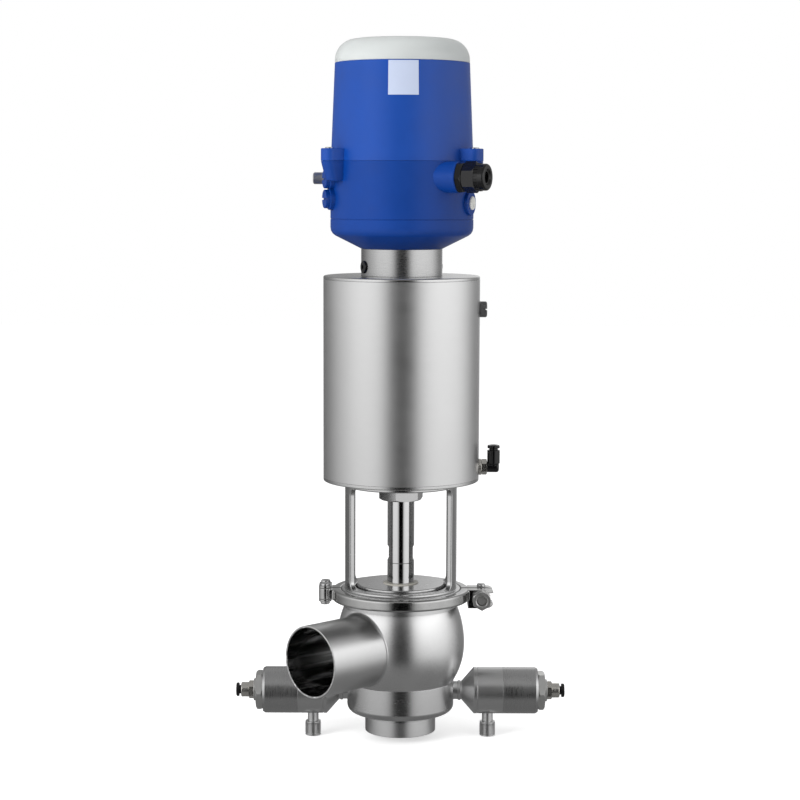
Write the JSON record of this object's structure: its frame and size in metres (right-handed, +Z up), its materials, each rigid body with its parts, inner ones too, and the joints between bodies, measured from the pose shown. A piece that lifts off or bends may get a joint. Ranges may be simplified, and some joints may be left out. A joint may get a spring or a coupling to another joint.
{
  "type": "mixproof valve",
  "caption": "Pneumatic double-seal mixproof seat valve: ball body with side and bottom tube ends, clamped lantern, spring actuator, control head and purge valves on its leak chamber.",
  "frame": {"origin": "centre of the lower port's end face", "axes": "+Z up the valve's axis towards the control head, -Y towards the viewer of the picture, the purge valves along X, the side port towards -X and -Y"},
  "size_m": [0.327, 0.199, 0.6875],
  "materials": {
    "brushed_stainless": "brushed",
    "satin_stainless": "bead blasted",
    "polished_stainless": "polished",
    "cast_stainless": "polished casting",
    "spring_steel": "drawn wire",
    "aluminium": "machined",
    "blue_plastic": "satin moulded",
    "dome_plastic": "translucent moulded",
    "black_plastic": "moulded",
    "grey_plastic": "moulded",
    "white_plastic": "moulded",
    "bearing_plastic": "machined",
    "board_green": "laminate",
    "seal_rubber": "moulded"
  },
  "bodies": {
    "valve_body": {"lower_port": "brushed_stainless", "seat_housing": "satin_stainless", "upper_housing": "satin_stainless", "side_port": "brushed_stainless", "bonnet": "polished_stainless", "stem_bush": "bearing_plastic", "bonnet_seals": "seal_rubber", "lantern": "brushed_stainless", "clamp_rear_half": "cast_stainless", "clamp_front_half": "cast_stainless", "clamp_hinge_links": "cast_stainless", "clamp_hinge_pins": "polished_stainless", "clamp_pivot_pin": "polished_stainless", "shaft_gland": "satin_stainless", "actuator_bottom_cover": "brushed_stainless", "actuator_cylinder": "brushed_stainless", "actuator_top_cover": "brushed_stainless", "main_spring": "spring_steel", "air_vent": "grey_plastic", "elbow_adapter": "polished_stainless", "neck_adapter": "satin_stainless", "neck_screws": "black_plastic", "head_base": "blue_plastic", "head_cover": "blue_plastic", "head_gasket": "seal_rubber", "head_dome": "dome_plastic", "head_screws": "polished_stainless", "blank_plugs": "blue_plastic", "m12_connector": "polished_stainless", "cable_gland_body": "black_plastic", "cable_gland_nut": "black_plastic", "vent_plug": "white_plastic", "circuit_board": "board_green", "pilot_valve": "black_plastic", "left_purge_body": "satin_stainless", "left_purge_cylinder": "satin_stainless", "left_purge_cap": "satin_stainless", "left_purge_spring": "spring_steel", "left_purge_fitting": "polished_stainless", "right_purge_body": "satin_stainless", "right_purge_cylinder": "satin_stainless", "right_purge_cap": "satin_stainless", "right_purge_spring": "spring_steel", "right_purge_fitting": "polished_stainless"},
    "stem": {"valve_plug": "polished_stainless", "plug_seals": "seal_rubber", "actuator_shaft": "polished_stainless", "actuator_piston": "aluminium", "piston_seal": "seal_rubber", "piston_nut": "polished_stainless", "position_magnet": "black_plastic"},
    "left_purge_stem": {"left_purge_piston": "polished_stainless"},
    "right_purge_stem": {"right_purge_piston": "polished_stainless"},
    "left_collet": {"left_purge_collet": "black_plastic"},
    "right_collet": {"right_purge_collet": "black_plastic"},
    "air_elbow": {"elbow_body": "grey_plastic"},
    "air_collet": {"elbow_collet": "black_plastic"},
    "clamp_bolt": {"clamp_swing_bolt": "polished_stainless"},
    "clamp_washer": {"clamp_washer": "polished_stainless"},
    "clamp_nut": {"clamp_nut": "polished_stainless"}
  },
  "joints": [
    {"name": "stem_lift", "type": "slide", "parent": "valve_body", "child": "stem", "axis": [0, 0, 1], "range_m": [0, 0.03], "stiffness_N_per_m": 8000, "springref_m": -0.01, "deforming": ["main_spring"]},
    {"name": "left_purge_close", "type": "slide", "parent": "valve_body", "child": "left_purge_stem", "axis": [1, 0, 0], "range_m": [0, 0.005], "stiffness_N_per_m": 2000, "springref_m": -0.002, "deforming": ["left_purge_spring"]},
    {"name": "right_purge_close", "type": "slide", "parent": "valve_body", "child": "right_purge_stem", "axis": [-1, 0, 0], "range_m": [0, 0.005], "stiffness_N_per_m": 2000, "springref_m": -0.002, "deforming": ["right_purge_spring"]},
    {"name": "left_collet_press", "type": "slide", "parent": "valve_body", "child": "left_collet", "axis": [1, 0, 0], "range_m": [0, 0.0012], "stiffness_N_per_m": 500},
    {"name": "right_collet_press", "type": "slide", "parent": "valve_body", "child": "right_collet", "axis": [-1, 0, 0], "range_m": [0, 0.0012], "stiffness_N_per_m": 500},
    {"name": "elbow_swivel", "type": "hinge", "parent": "valve_body", "child": "air_elbow", "pos_m": [0.09105, 0, 0.2646], "axis": [1, 0, 0], "continuous": true},
    {"name": "elbow_collet_press", "type": "slide", "parent": "air_elbow", "child": "air_collet", "axis": [0, 0, -1], "range_m": [0, 0.0012], "stiffness_N_per_m": 500},
    {"name": "clamp_bolt_swing", "type": "hinge", "parent": "valve_body", "child": "clamp_bolt", "pos_m": [0.08, 0.0065, 0.1342], "axis": [0, 0, 1], "range_deg": [0, 100]},
    {"name": "clamp_washer_travel", "type": "slide", "parent": "clamp_bolt", "child": "clamp_washer", "axis": [0, -1, 0], "range_m": [0, 0.006]},
    {"name": "clamp_nut_turn", "type": "hinge", "parent": "clamp_washer", "child": "clamp_nut", "pos_m": [0.08, -0.017, 0.1342], "axis": [0, -1, 0], "range_deg": [0, 1440]}
  ],
  "couplings": [
    {"joint": "clamp_washer_travel", "follows": "clamp_nut_turn", "m_per_rad": 0.00023873}
  ]
}
